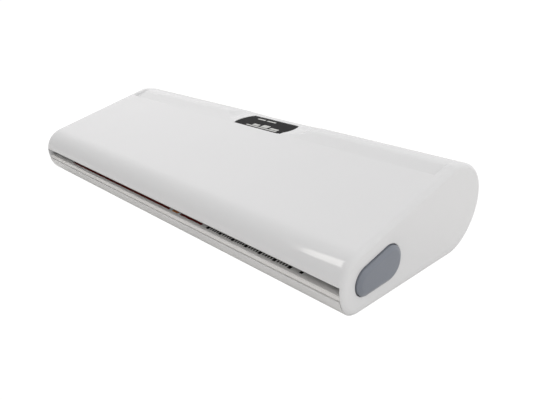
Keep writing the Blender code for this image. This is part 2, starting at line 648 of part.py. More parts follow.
# ---- feet and screws --------------------------------------------------------
for name, (x, y) in zip(("foot_front_left", "foot_front_right", "foot_rear_left", "foot_rear_right"), FEET):
    foot = [(-FOOT_HEIGHT, 0), (-FOOT_HEIGHT, 6.0), (-FOOT_HEIGHT + 0.7, 7.0), (-SEAM, 7.0), (-SEAM, 2.5), (1.9, 2.5), (1.9, 0)]
    place(name, turned(foot, "Z", 20), RUBBER, (x, y, 0))
for name, (x, y, _) in zip(("screw_front_left", "screw_front_right", "screw_rear_left", "screw_rear_right"), BOSSES):
    screw = [(0.9, 0), (0.9, 2.5), (1.3, 2.9), (2.7, 2.9), (2.7, 1.0), (13.6, 1.0), (14.4, 0.3), (14.4, 0)]
    place(name, turned(screw, "Z", 12), STEEL, (x, y, 0))
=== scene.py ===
"""Looks of the desktop pouch laminator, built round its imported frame.

Lengths in the builders are millimetres in the design frame: X along the machine
from its middle (+X is the button end), Y from the front of the nose to the rear,
Z up from the underside of the housings. place() moves them into the row frame.
"""
import math

import bmesh
import bpy
from mathutils import Matrix, Vector


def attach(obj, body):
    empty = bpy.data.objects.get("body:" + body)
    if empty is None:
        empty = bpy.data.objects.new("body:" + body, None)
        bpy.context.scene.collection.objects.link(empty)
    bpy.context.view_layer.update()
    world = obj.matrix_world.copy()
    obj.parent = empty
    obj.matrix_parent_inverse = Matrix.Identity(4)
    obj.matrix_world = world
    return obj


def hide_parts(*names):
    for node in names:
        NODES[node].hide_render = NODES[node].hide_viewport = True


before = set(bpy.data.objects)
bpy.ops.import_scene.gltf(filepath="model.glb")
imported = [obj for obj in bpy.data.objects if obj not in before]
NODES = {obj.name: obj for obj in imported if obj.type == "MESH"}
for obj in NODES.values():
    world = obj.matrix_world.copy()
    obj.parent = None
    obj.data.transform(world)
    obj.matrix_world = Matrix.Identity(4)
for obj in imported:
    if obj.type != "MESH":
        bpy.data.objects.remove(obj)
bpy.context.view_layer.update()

scene = bpy.context.scene
collection = scene.collection

# the row frame's origin in the design frame, read from the button face and the feet
BUTTON_PROUD, DEPTH, FOOT_HEIGHT, LENGTH, HEIGHT = 2.5, 144.9, 2.0, 350.0, 62.8
SHIFT = Vector((-BUTTON_PROUD / 2, -DEPTH / 2, FOOT_HEIGHT))

END_FILLET, WALL, END_WALL, SEAM = 3.5, 2.5, 2.0, 0.3
NOSE_Z, NOSE_BOTTOM_Y, NOSE_TOP = 20.3, 15.5, (14.8, 38.7)
CREST_Y, REAR_Z, REAR_BOTTOM_Y = 107.0, 32.6, 113.2
REAR_UPPER_N, REAR_LOWER_N = 2.165, 1.886
LIP_Z, LOWER_LIP_Z, EXIT_TOP_Z, EXIT_BOTTOM_Z, EXIT_HALF = 22.3, 13.2, 25.5, 18.5, 124.0
TROUGH_Y, TROUGH_HALF, TROUGH_MID_DEPTH, TROUGH_END_DEPTH = (93.0, 118.0), 168.0, 0.7, 2.9
DISH_CENTRE, DISH_HALF = (11.0, 112.0), (47.0, 20.0)
BADGE_FRONT, BADGE_SLOPE, BADGE_THICK = (92.8, 59.0), 0.0464, 1.2
BUTTON_CIRCLES = ((20.5, 19.5, 8.7), (40.5, 22.3, 11.0))
FEET = {"foot_front_left": (-150.0, 24.0), "foot_front_right": (150.0, 24.0), "foot_rear_left": (-150.0, 104.0), "foot_rear_right": (150.0, 104.0)}
SCREWS = {"screw_front_left": (-134.0, 30.0), "screw_front_right": (134.0, 30.0), "screw_rear_left": (-162.5, 110.0), "screw_rear_right": (162.5, 110.0)}
BOSSES = ((-134.0, 30.0, 41.3), (134.0, 30.0, 41.3), (-162.5, 110.0, 57.4), (162.5, 110.0, 57.4))
GLAND_X, GLAND_Z = -146.0, 16.8
HALF = LENGTH / 2
INSIDE = HALF - END_WALL
TOP_SLOPE = (HEIGHT - NOSE_TOP[1]) / (CREST_Y - NOSE_TOP[0])


# ---- materials --------------------------------------------------------------
def shader_material(name, roughness, metallic=0.0, ior=1.5, specular=0.5, coat=0.0, coat_roughness=0.05):
    mat = bpy.data.materials.new(name)
    mat.use_nodes = True
    tree = mat.node_tree
    shader = tree.nodes["Principled BSDF"]
    shader.inputs["Roughness"].default_value = roughness
    shader.inputs["Metallic"].default_value = metallic
    shader.inputs["IOR"].default_value = ior
    shader.inputs["Specular IOR Level"].default_value = specular
    shader.inputs["Coat Weight"].default_value = coat
    shader.inputs["Coat Roughness"].default_value = coat_roughness
    coords = tree.nodes.new("ShaderNodeTexCoord").outputs["Object"]
    return mat, tree, shader, coords


def noise(tree, coords, scale, detail=2.0, stretch=None):
    if stretch is not None:
        mapping = tree.nodes.new("ShaderNodeMapping")
        mapping.inputs["Scale"].default_value = stretch
        tree.links.new(coords, mapping.inputs["Vector"])
        coords = mapping.outputs["Vector"]
    node = tree.nodes.new("ShaderNodeTexNoise")
    node.inputs["Scale"].default_value = scale
    node.inputs["Detail"].default_value = detail
    tree.links.new(coords, node.inputs["Vector"])
    return node.outputs["Fac"]


def spread(tree, value, low, high, from_low=0.3, from_high=0.7):
    node = tree.nodes.new("ShaderNodeMapRange")
    node.inputs["From Min"].default_value = from_low
    node.inputs["From Max"].default_value = from_high
    node.inputs["To Min"].default_value = low
    node.inputs["To Max"].default_value = high
    tree.links.new(value, node.inputs["Value"])
    return node.outputs["Result"]


def blend_colours(tree, factor, first, second):
    node = tree.nodes.new("ShaderNodeMix")
    node.data_type = "RGBA"
    node.inputs["A"].default_value = (*first, 1.0)
    node.inputs["B"].default_value = (*second, 1.0)
    tree.links.new(factor, node.inputs["Factor"])
    return node.outputs["Result"]


def bump(tree, shader, height, strength, distance):
    node = tree.nodes.new("ShaderNodeBump")
    node.inputs["Strength"].default_value = strength
    node.inputs["Distance"].default_value = distance
    tree.links.new(height, node.inputs["Height"])
    tree.links.new(node.outputs["Normal"], shader.inputs["Normal"])


def finish_material(name, colour, roughness, rough_spread=0.04, colour_spread=0.03, blotch=60.0, grain=2500.0, grain_strength=0.08,
                    grain_depth=0.00002, metallic=0.0, specular=0.5, coat=0.0, coat_roughness=0.05, stretch=None, tint=(1.0, 1.0, 1.0)):
    """Colour drifting over centimetres, roughness over millimetres and a fine surface grain."""
    mat, tree, shader, coords = shader_material(name, roughness, metallic, 1.5, specular, coat, coat_roughness)
    low = tuple(c * (1 - colour_spread) * t for c, t in zip(colour, tint))
    high = tuple(min(c * (1 + colour_spread), 1.0) for c in colour)
    drift = spread(tree, noise(tree, coords, blotch, 3.0, stretch), 0.0, 1.0)
    tree.links.new(blend_colours(tree, drift, low, high), shader.inputs["Base Color"])
    tree.links.new(spread(tree, noise(tree, coords, blotch * 7, 2.0, stretch), roughness - rough_spread, roughness + rough_spread), shader.inputs["Roughness"])
    bump(tree, shader, noise(tree, coords, grain, 2.0, stretch), grain_strength, grain_depth)
    return mat


WHITE = finish_material("gloss_white_abs", (0.785, 0.785, 0.787), 0.075, 0.012, 0.005, 14.0, 1600.0, 0.012, 0.000005)
WHITE_LOW = finish_material("gloss_white_abs_base", (0.775, 0.77, 0.762), 0.16, 0.02, 0.008, 14.0, 1600.0, 0.04, 0.00001)
# the feed table's white is set lighter than the casing's white: painted light standing in for the light under the upper
# lip
SATIN_WHITE_PAINTED_LIGHT = finish_material("satin_white_abs_painted_light", (0.86, 0.845, 0.825), 0.40, 0.03, 0.015, 30.0, 2600.0, 0.12, 0.00002)
GREY = finish_material("blue_grey_button", (0.215, 0.232, 0.268), 0.36, 0.03, 0.02, 40.0, 3000.0, 0.10, 0.00002)
BADGE = finish_material("badge_black", (0.012, 0.0115, 0.012), 0.55, 0.02, 0.04, 30.0, 2200.0, 0.04, 0.00001, specular=0.055)
PALE_INK = finish_material("pale_print", (0.60, 0.60, 0.58), 0.5, 0.03, 0.03, 90.0, 3000.0, 0.05, 0.00001, specular=0.3)
DARK_INK = finish_material("dark_print", (0.016, 0.013, 0.012), 0.5, 0.03, 0.05, 90.0, 3000.0, 0.05, 0.00001, specular=0.3)
RED_INK = finish_material("dark_red_print", (0.20, 0.016, 0.010), 0.5, 0.03, 0.05, 90.0, 3000.0, 0.05, 0.00001, specular=0.3)
AMBER_INK = finish_material("amber_print", (0.62, 0.22, 0.05), 0.5, 0.03, 0.05, 90.0, 3000.0, 0.05, 0.00001, specular=0.3)
BLACK = finish_material("heat_black_plastic", (0.030, 0.030, 0.031), 0.52, 0.05, 0.08, 60.0, 1800.0, 0.35, 0.00003)
ZINC = finish_material("zinc_plated_steel", (0.55, 0.56, 0.58), 0.34, 0.08, 0.08, 90.0, 900.0, 0.08, 0.00001, 1.0)
GROUND = finish_material("ground_steel", (0.62, 0.62, 0.63), 0.20, 0.05, 0.03, 200.0, 1500.0, 0.12, 0.00001, 1.0, stretch=(0.05, 1.0, 1.0))
SILICONE = finish_material("brick_red_silicone", (0.45, 0.10, 0.06), 0.62, 0.05, 0.06, 50.0, 1400.0, 0.25, 0.00003)
ALUMINIUM = finish_material("extruded_aluminium", (0.75, 0.76, 0.77), 0.30, 0.06, 0.03, 120.0, 1200.0, 0.15, 0.00001, 1.0, stretch=(0.04, 1.0, 1.0))
MICA = finish_material("mica_strip", (0.45, 0.36, 0.22), 0.55, 0.08, 0.18, 160.0, 900.0, 0.25, 0.00003)
BRONZE = finish_material("sintered_bronze", (0.50, 0.33, 0.16), 0.45, 0.07, 0.10, 400.0, 2200.0, 0.30, 0.00002, 1.0)
ACETAL = finish_material("natural_acetal", (0.82, 0.80, 0.74), 0.40, 0.04, 0.02, 50.0, 1800.0, 0.10, 0.00002)
BOARD = finish_material("green_circuit_board", (0.05, 0.20, 0.09), 0.38, 0.06, 0.20, 260.0, 900.0, 0.20, 0.00003)
RUBBER = finish_material("black_rubber", (0.026, 0.026, 0.026), 0.78, 0.06, 0.12, 120.0, 1600.0, 0.45, 0.00004)

CARRIED = {
    "infeed_upper_guide": BLACK, "exit_lower_guide": BLACK, "exit_upper_guide": BLACK, "indicator_board": BOARD, "control_board": BOARD,
    "left_side_frame": ZINC, "right_side_frame": ZINC, "front_tie_bar": ZINC, "rear_tie_bar": ZINC, "motor_bracket": ZINC, "drive_motor": ZINC,
    "idler_stud": ZINC, "feed_bush_left": BRONZE, "feed_bush_right": BRONZE, "press_bush_left": BRONZE, "press_bush_right": BRONZE,
    "lower_heater_shoe": ALUMINIUM, "upper_heater_shoe": ALUMINIUM, "lower_heating_element": MICA, "upper_heating_element": MICA,
    "thermostat": BLACK, "switch_body": BLACK, "feed_block_left": BLACK, "feed_block_right": BLACK, "press_block_left": BLACK, "press_block_right": BLACK,
    "feed_spring_left": GROUND, "feed_spring_right": GROUND, "press_spring_left": GROUND, "press_spring_right": GROUND,
    "lower_feed_shaft": GROUND, "upper_feed_shaft": GROUND, "lower_press_shaft": GROUND, "upper_press_shaft": GROUND, "motor_shaft": GROUND,
    "lower_feed_sleeve": SILICONE, "upper_feed_sleeve": SILICONE, "lower_press_sleeve": SILICONE, "upper_press_sleeve": SILICONE,
    "lower_feed_gear": ACETAL, "upper_feed_gear": ACETAL, "lower_press_gear": ACETAL, "upper_press_gear": ACETAL, "idler_gear": ACETAL, "motor_pinion": ACETAL,
}
for node_name, mat in CARRIED.items():
    mesh = NODES[node_name].data
    mesh.materials.clear()
    mesh.materials.append(mat)


# ---- mesh helpers -----------------------------------------------------------
def place(name, bm, mats, smooth=35.0, tidy=True):
    """Turns a bmesh in design millimetres into an object of the row frame."""
    if tidy:
        bmesh.ops.recalc_face_normals(bm, faces=bm.faces)
    for v in bm.verts:
        v.co = (v.co + SHIFT) * 0.001
    mesh = bpy.data.meshes.new(name)
    bm.to_mesh(mesh)
    bm.free()
    for mat in mats if isinstance(mats, (list, tuple)) else [mats]:
        if mat is not None:
            mesh.materials.append(mat)
    mesh.shade_smooth()
    mesh.set_sharp_from_angle(angle=math.radians(smooth))
    obj = bpy.data.objects.new(name, mesh)
    collection.objects.link(obj)
    return obj


def boolean(target, bm, operation="DIFFERENCE"):
    helper = place(f"{target.name}_tool", bm, None)
    mod = target.modifiers.new("boolean", "BOOLEAN")
    mod.operation = operation
    mod.solver = "EXACT"
    mod.object = helper
    bake(target)
    bpy.data.objects.remove(helper, do_unlink=True)


def bake(obj):
    """Replaces the object's mesh by its evaluated one."""
    bpy.context.view_layer.update()
    evaluated = obj.evaluated_get(bpy.context.evaluated_depsgraph_get())
    mesh = bpy.data.meshes.new_from_object(evaluated)
    old = obj.data
    obj.modifiers.clear()
    obj.data = mesh
    mesh.name = old.name
    bpy.data.meshes.remove(old)


def shade(obj, angle=35.0):
    obj.data.shade_smooth()
    obj.data.set_sharp_from_angle(angle=math.radians(angle))


def split_large_faces(obj):
    """Cuts every face of more than four corners into triangles, hollow outlines included."""
    bm = bmesh.new()
    bm.from_mesh(obj.data)
    bmesh.ops.triangulate(bm, faces=[f for f in bm.faces if len(f.verts) > 4], ngon_method="BEAUTY")
    bm.to_mesh(obj.data)
    bm.free()


def rounded(obj, width, segments=3, angle=40.0):
    mod = obj.modifiers.new("bevel", "BEVEL")
    mod.width = width * 0.001
    mod.segments = segments
    mod.limit_method = "ANGLE"
    mod.angle_limit = math.radians(angle)
    mod.use_clamp_overlap = True
    bake(obj)
    shade(obj, 50.0)


def loft(rings, bm=None, close=True):
    bm = bm or bmesh.new()
    made = [[bm.verts.new(p) for p in ring] for ring in rings]
    count = len(made[0])
    for low, high in zip(made, made[1:]):
        for i in range(count):
            j = (i + 1) % count
            bm.faces.new((low[i], low[j], high[j], high[i]))
    if close:
        bm.faces.new(made[0])
        bm.faces.new(made[-1])
    return bm


def prism_x(points, x0, x1, bm=None):
    return loft([[(x, y, z) for y, z in points] for x in (x0, x1)], bm)


def block(x0, x1, y0, y1, z0, z1, bm=None):
    return prism_x([(y0, z0), (y1, z0), (y1, z1), (y0, z1)], x0, x1, bm)


def circle(cy, cz, r, count, phase=0.0):
    return [(cy + r * math.cos(phase + 2 * math.pi * i / count), cz + r * math.sin(phase + 2 * math.pi * i / count)) for i in range(count)]


def rod_z(cx, cy, r, z0, z1, count=32, bm=None):
    ring = circle(cx, cy, r, count)
    return loft([[(x, y, z0) for x, y in ring], [(x, y, z1) for x, y in ring]], bm)


def rod_y(cx, cz, r, y0, y1, count=48, bm=None):
    ring = circle(cx, cz, r, count)
    return loft([[(x, y0, z) for x, z in ring], [(x, y1, z) for x, z in ring]], bm)


AXES = {
    "X": lambda a, u, v: (a, u, v),
    "Y": lambda a, u, v: (u, a, v),
    "Z": lambda a, u, v: (u, v, a),
}


def turned(profile, at, axis="Z", count=48, hollow=False):
    to = AXES[axis]
    bm = bmesh.new()
    rings = []
    for along, radius in profile:
        if radius == 0:
            rings.append([bm.verts.new(Vector(to(along, 0, 0)) + Vector(at))])
        else:
            rings.append([bm.verts.new(Vector(to(along, radius * math.cos(2 * math.pi * i / count), radius * math.sin(2 * math.pi * i / count))) + Vector(at)) for i in range(count)])
    pairs = list(zip(rings, rings[1:]))
    if hollow:
        pairs.append((rings[-1], rings[0]))
    for a, b in pairs:
        for i in range(count):
            j = (i + 1) % count
            if len(a) == 1:
                bm.faces.new((a[0], b[j], b[i]))
            elif len(b) == 1:
                bm.faces.new((a[i], a[j], b[0]))
            else:
                bm.faces.new((a[i], a[j], b[j], b[i]))
    return bm


def bend(p, corner, q, steps):
    """Points along the soft corner between p and q, both ends left out."""
    out = []
    for k in range(1, steps):
        t = k / steps
        out.append(tuple((1 - t) ** 2 * a + 2 * t * (1 - t) * c + t * t * b for a, c, b in zip(p, corner, q)))
    return out


def smoothstep(t):
    t = min(max(t, 0.0), 1.0)
    return t * t * (3 - 2 * t)


def smooth_max(a, b, k):
    h = max(k - abs(a - b), 0.0) / k
    return max(a, b) + h * h * k / 4


# ---- the casing's side profile ----------------------------------------------
def superellipse(t, n):
    return max(t, 0.0) ** (2.0 / n)


def nose_curve():
    along = Vector((1, TOP_SLOPE)).normalized()
    p0, p3 = Vector((0, NOSE_Z)), Vector(NOSE_TOP)
    p1 = Vector((0, NOSE_Z + 0.55 * (NOSE_TOP[1] - NOSE_Z)))
    p2 = p3 - 0.55 * NOSE_TOP[0] * along
    return p0, p1, p2, p3


def nose_point(t):
    p0, p1, p2, p3 = nose_curve()
    p = (1 - t) ** 3 * p0 + 3 * t * (1 - t) ** 2 * p1 + 3 * t * t * (1 - t) * p2 + t ** 3 * p3
    return (p.x, p.y)


def nose_t(z):
    low, high = 0.0, 1.0
    for _ in range(50):
        mid = (low + high) / 2
        if nose_point(mid)[1] < z:
            low = mid
        else:
            high = mid
    return (low + high) / 2


def top_z(y):
    if y <= CREST_Y:
        return NOSE_TOP[1] + TOP_SLOPE * (y - NOSE_TOP[0])
    s = min((y - CREST_Y) / (DEPTH - CREST_Y), 1.0)
    return REAR_Z + (HEIGHT - REAR_Z) * (1 - s ** REAR_UPPER_N) ** (1 / REAR_UPPER_N)


def rear_lower(t):
    return (REAR_BOTTOM_Y + (DEPTH - REAR_BOTTOM_Y) * superellipse(math.cos(t), REAR_LOWER_N), REAR_Z - REAR_Z * superellipse(math.sin(t), REAR_LOWER_N))


def rear_lower_t(z):
    return math.asin(((REAR_Z - z) / REAR_Z) ** (REAR_LOWER_N / 2))


def nose_bottom(t):
    return (NOSE_BOTTOM_Y * (1 - math.sin(t)), NOSE_Z * (1 - math.cos(t)))


def nose_bottom_t(z):
    return math.acos(1 - z / NOSE_Z)


def merged(values, extra, gap):
    """A sorted list of values that holds the extra ones and nothing close to them."""
    kept = [v for v in values if all(abs(v - e) > gap for e in extra)]
    return sorted(kept + list(extra))


def inset(loop, distances):
    """Moves each point of a loop inwards, square to its two edges, by its own distance."""
    out = []
    count = len(loop)
    for i in range(count):
        d = distances[i] if isinstance(distances, list) else distances
        if d == 0:
            out.append(loop[i])
            continue
        a, b, c = (Vector(loop[(i + k) % count]) for k in (-1, 0, 1))
        first, second = (b - a).normalized(), (c - b).normalized()
        n1, n2 = Vector((first.y, -first.x)), Vector((second.y, -second.x))
        n = (n1 + n2).normalized()
        step = n * (d / max(n.dot(n1), 0.5))
        out.append((b.x + step.x, b.y + step.y))
    return out


ROUND_OUT, ROUND_IN = 0.7, 0.4
nose_bottom_ts = merged([i / 20 * math.pi / 2 for i in range(20)], [nose_bottom_t(LOWER_LIP_Z)], 0.03)
nose_ts = merged([i / 26 for i in range(26)], [nose_t(LIP_Z + ROUND_OUT)], 0.015)
top_ys = [14.8, 15.6, 17.0, 20.0, 25.0] + [32.0 + 7 * i for i in range(8)] + [84.5, 87.5, 89.5, 90.7, 91.4, 91.9, 92.2, 92.45, 92.65, 92.8]
top_ys += [92.9 + 0.07 * i for i in range(10)] + [93.65, 93.85, 94.2, 94.7, 95.3] + [96.0 + i for i in range(11)]
crest_ys = [107.0 + i for i in range(27)]
rear_ts = [math.asin(((y - CREST_Y) / (DEPTH - CREST_Y)) ** (REAR_UPPER_N / 2)) for y in (134.0,)]
rear_upper = [rear_ts[0] + (math.pi / 2 - rear_ts[0]) * i / 16 for i in range(16)]
rear_lower_ts = merged([i / 26 * math.pi / 2 for i in range(27)], [rear_lower_t(EXIT_TOP_Z + ROUND_OUT)], 0.02)

OUTER = [nose_bottom(t) for t in nose_bottom_ts]
FRONT_EDGE = len(OUTER) + nose_ts.index(nose_t(LIP_Z + ROUND_OUT))
OUTER += [nose_point(t) for t in nose_ts]
OUTER += [(y, top_z(y)) for y in top_ys]
OUTER += [(y, top_z(y)) for y in crest_ys]
for t in rear_upper:
    OUTER.append((CREST_Y + (DEPTH - CREST_Y) * superellipse(math.sin(t), REAR_UPPER_N), REAR_Z + (HEIGHT - REAR_Z) * superellipse(math.cos(t), REAR_UPPER_N)))
REAR_EDGE = len(OUTER) + rear_lower_ts.index(rear_lower_t(EXIT_TOP_Z + ROUND_OUT))
OUTER += [rear_lower(t) for t in rear_lower_ts]


def drop_twins(loop, marks):
    out, moved = [], {}
    for i, p in enumerate(loop):
        if out and math.dist(out[-1], p) < 1e-4:
            moved[i] = len(out) - 1
            continue
        moved[i] = len(out)
        out.append(p)
    return out, [moved[m] for m in marks]


OUTER, (FRONT_EDGE, REAR_EDGE) = drop_twins(OUTER, (FRONT_EDGE, REAR_EDGE))


def coarse_inner():
    loop = [nose_bottom(i / 9 * math.pi / 2) for i in range(9)] + [nose_point(i / 12) for i in range(12)] + [NOSE_TOP]
    for i in range(14):
        t = i / 14 * math.pi / 2
        loop.append((CREST_Y + (DEPTH - CREST_Y) * superellipse(math.sin(t), REAR_UPPER_N), REAR_Z + (HEIGHT - REAR_Z) * superellipse(math.cos(t), REAR_UPPER_N)))
    loop += [rear_lower(i / 12 * math.pi / 2) for i in range(13)]
    return inset(loop, WALL)


INNER = coarse_inner()


def crossing(loop, z, rear):
    count = len(loop)
    for i in range(count):
        (ya, za), (yb, zb) = loop[i], loop[(i + 1) % count]
        if (za - z) * (zb - z) <= 0 and za != zb and (ya > DEPTH / 2) == rear:
            return ya + (yb - ya) * (z - za) / (zb - za)
    raise ValueError("no crossing")


# ---- shape of the top -------------------------------------------------------
def trough_depth(x, y):
    """The shallow step across the rear of the top, deeper towards its ends."""
    y0, y1 = TROUGH_Y
    if not y0 - 0.5 < y < y1:
        return 0.0
    deep = TROUGH_MID_DEPTH + (TROUGH_END_DEPTH - TROUGH_MID_DEPTH) * min(abs(x) / TROUGH_HALF, 1.0) ** 1.3
    s = min(max((y - y0) / (y1 - y0), 0.0), 1.0)
    return deep * (1 - s) ** 1.3 * smoothstep((y - 92.88) / 0.62) * (1 - smoothstep((abs(x) - 167.2) / 1.35))


def dish_depth(x, y):
    """The shallow dish round the badge, which also lowers the crest there."""
    u = abs(x - DISH_CENTRE[0]) / DISH_HALF[0]
    v = abs(y - DISH_CENTRE[1]) / DISH_HALF[1]
    share = (u ** 3.4 + v ** 3.4) ** (1 / 3.4)
    if share >= 1.0:
        return 0.0
    floor = BADGE_FRONT[1] + BADGE_SLOPE * (y - BADGE_FRONT[0]) - 0.0185 * max(y - 116.0, 0.0) ** 2
    lift = min(max((share - 0.78) / 0.22, 0.0), 1.0)
    lift = lift ** 1.6 * (1 - 0.25 * lift) / 0.75
    return max((top_z(y) - floor) * (1 - lift), 0.0)


def sink(x, y):
    a, b = trough_depth(x, y), dish_depth(x, y)
    if a == 0.0 and b == 0.0:
        return 0.0
    return smooth_max(a, b, 0.15) - (0.15 / 4 if max(a, b) < 1e-9 else 0.15 / 4 * max(0.0, 1 - max(a, b) / 0.15))


# ---- upper housing ----------------------------------------------------------
def shell_back(outer):
    """The section of the shell behind its outer surface: exit edge, inside, feed lip."""
    yb = crossing(outer, EXIT_TOP_Z, True)
    yi = crossing(INNER, EXIT_TOP_Z, True)
    pb = outer[REAR_EDGE]
    out = bend(pb, (yb, EXIT_TOP_Z), (yb - ROUND_OUT, EXIT_TOP_Z), 5) + [(yb - ROUND_OUT, EXIT_TOP_Z), (yi + ROUND_IN, EXIT_TOP_Z)]
    yi2 = crossing(INNER, EXIT_TOP_Z + ROUND_IN, True)
    out += bend((yi + ROUND_IN, EXIT_TOP_Z), (yi, EXIT_TOP_Z), (yi2, EXIT_TOP_Z + ROUND_IN), 3) + [(yi2, EXIT_TOP_Z + ROUND_IN)]
    out += sorted([p for p in INNER if p[0] > 118 and EXIT_TOP_Z + 1.2 < p[1] < 56.2], key=lambda p: p[1])
    out += [(118.0, 56.6), (106.0, 56.2), (97.0, 54.45), (85.0, 54.45)]
    yf, yf2 = crossing(INNER, LIP_Z, False), crossing(INNER, LIP_Z + ROUND_IN, False)
    out += sorted([p for p in INNER if p[0] < 60 and p[1] > LIP_Z + 1.2], key=lambda p: -p[1])
    out += [(yf2, LIP_Z + ROUND_IN)] + bend((yf2, LIP_Z + ROUND_IN), (yf, LIP_Z), (yf - ROUND_IN, LIP_Z), 3) + [(yf - ROUND_IN, LIP_Z)]
    yl = crossing(outer, LIP_Z, False)
    out += [(yl + ROUND_OUT, LIP_Z)] + bend((yl + ROUND_OUT, LIP_Z), (yl, LIP_Z), outer[FRONT_EDGE], 5)
    return out


def stations():
    mid = [-160.0 + 8.0 * i for i in range(15)] + [-40.0 + 1.25 * i for i in range(84)] + [66.0, 70.0, 76.0] + [84.0 + 8.0 * i for i in range(10)]
    mid = sorted(v for v in mid if abs(v) <= 160)
    edge = [163.0, 165.2, 166.4, 167.0, 167.25, 167.45, 167.65, 167.85, 168.05, 168.25, 168.45, 168.7, 169.2, 170.2, 171.4, 172.3, 172.7]
    return [-e for e in reversed(edge)] + mid + edge


def end_inset(x):
    reach = abs(x) - (HALF - END_FILLET)
    if reach <= 0:
        return 0.0
    return END_FILLET * (1 - math.sqrt(max(1 - (reach / END_FILLET) ** 2, 0.0)))


def build_upper():
    bm = bmesh.new()
    count = len(OUTER)
    upper = list(range(FRONT_EDGE, REAR_EDGE + 1))
    lower = [i % count for i in range(REAR_EDGE + 1, count + FRONT_EDGE)]

    def outer_point(x, i, base):
        y, z = base[i]
        if abs(x) < 169.3 and 91.5 < y < 133.5 and z > 45:
            z -= sink(x, y)
        return (x, y, z)

    def ring_base(x, soften=0.0):
        amounts = [end_inset(x)] * count
        if soften:
            for n, i in enumerate(lower):
                near = min(n, len(lower) - 1 - n) / 6
                amounts[i] += soften * smoothstep(near)
        return inset(OUTER, amounts)

    mid_xs = [-INSIDE] + stations() + [INSIDE]
    mid = []
    for x in mid_xs:
        base = ring_base(x)
        mid.append([bm.verts.new(outer_point(x, i, base)) for i in upper] + [bm.verts.new((x, y, z)) for y, z in shell_back(base)])
    size = len(mid[0])
    for a, b in zip(mid, mid[1:]):
        for i in range(size):
            j = (i + 1) % size
            bm.faces.new((a[i], a[j], b[j], b[i]))
    for side, joint in ((-1, mid[0]), (1, mid[-1])):
        x = side * INSIDE
        base = ring_base(x, 0.45)
        first = [None] * count
        for n, i in enumerate(upper):
            first[i] = joint[n]
        for i in lower:
            first[i] = bm.verts.new((x, *base[i]))
        wall = joint[len(upper):]
        bm.faces.new(wall + [first[FRONT_EDGE]] + [first[i] for i in reversed(lower)] + [first[REAR_EDGE]])
        rings = [first]
        for reach, soften in ((0.13, 0.13), (0.4, 0.0)):
            xx = side * (INSIDE + reach)
            base = ring_base(xx, soften)
            rings.append([bm.verts.new((xx, *base[i])) for i in range(count)])
        for degrees in (35, 42, 49, 56, 63, 70, 77, 84, 90):
            a = math.radians(degrees)
            xx = side * (HALF - END_FILLET + END_FILLET * math.sin(a))
            base = inset(OUTER, END_FILLET * (1 - math.cos(a)))
            rings.append([bm.verts.new((xx, *p)) for p in base])
        base = inset(OUTER, END_FILLET + 0.4)
        rings.append([bm.verts.new((side * HALF, *p)) for p in base])
        for a, b in zip(rings, rings[1:]):
            for i in range(count):
                j = (i + 1) % count
                bm.faces.new((a[i], a[j], b[j], b[i]))
        bm.faces.new(rings[-1])
    return bm


def badge_outline(grow=0.0, steps=20):
    left, right, front, rear = -14.0 - grow, 35.5 + grow, 92.8 - grow, 116.4 + grow
    bow = 3.2
    points = []
    for i in range(steps + 1):
        s = i / steps
        points.append((right + bow * 4 * s * (1 - s), front + (rear - front) * s))
    for i in range(steps + 1):
        s = 1 - i / steps
        points.append((left - bow * 4 * s * (1 - s), front + (rear - front) * s))
    return points


def badge_plane(y):
    return BADGE_FRONT[1] + BADGE_SLOPE * (y - BADGE_FRONT[0]) - 0.1


def button_hull(grow, steps=22):
    (y1, z1, r1), (y2, z2, r2) = BUTTON_CIRCLES
    phi = math.atan2(z2 - z1, y2 - y1)
    theta = math.acos((r1 - r2) / math.hypot(y2 - y1, z2 - z1))
    points = []
    for k in range(steps):
        a = phi + theta + (2 * math.pi - 2 * theta) * k / (steps - 1)
        points.append((y1 + (r1 + grow) * math.cos(a), z1 + (r1 + grow) * math.sin(a)))
    for k in range(steps):
        a = phi - theta + 2 * theta * k / (steps - 1)
        points.append((y2 + (r2 + grow) * math.cos(a), z2 + (r2 + grow) * math.sin(a)))
    return points


upper_housing = place("upper_housing_shell", build_upper(), WHITE)
plan = badge_outline(0.4)
boolean(upper_housing, loft([[(x, y, badge_plane(y) - BADGE_THICK - 0.35) for x, y in plan], [(x, y, badge_plane(y) + 8) for x, y in plan]]))
mouth = []
for x, grow in ((INSIDE - 2, 0.45), (HALF - 0.62, 0.45), (HALF - 0.46, 0.47), (HALF - 0.30, 0.54), (HALF - 0.16, 0.65), (HALF - 0.06, 0.82), (HALF + 0.001, 1.05), (HALF + 3, 1.2)):
    mouth.append([(x, y, z) for y, z in button_hull(grow)])
boolean(upper_housing, loft(mouth))
posts = bmesh.new()
for x, y, top in BOSSES:
    rod_z(x, y, 4.0, 6.0, top, 24, posts)
for x, y in ((-4.0, 100.0), (26.0, 110.0)):
    rod_z(x, y, 2.2, 51.9, 57.0, 16, posts)
boolean(upper_housing, posts, "UNION")
holes = bmesh.new()
for x, y, _ in BOSSES:
    rod_z(x, y, 1.3, 4.0, 17.0, 16, holes)
boolean(upper_housing, holes)
split_large_faces(upper_housing)
shade(upper_housing, 33.0)
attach(upper_housing, "root")
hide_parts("upper_housing")


# ---- lower housing ----------------------------------------------------------
PAN_HALF = INSIDE - SEAM
REAR_TOP_Z = EXIT_TOP_Z - SEAM


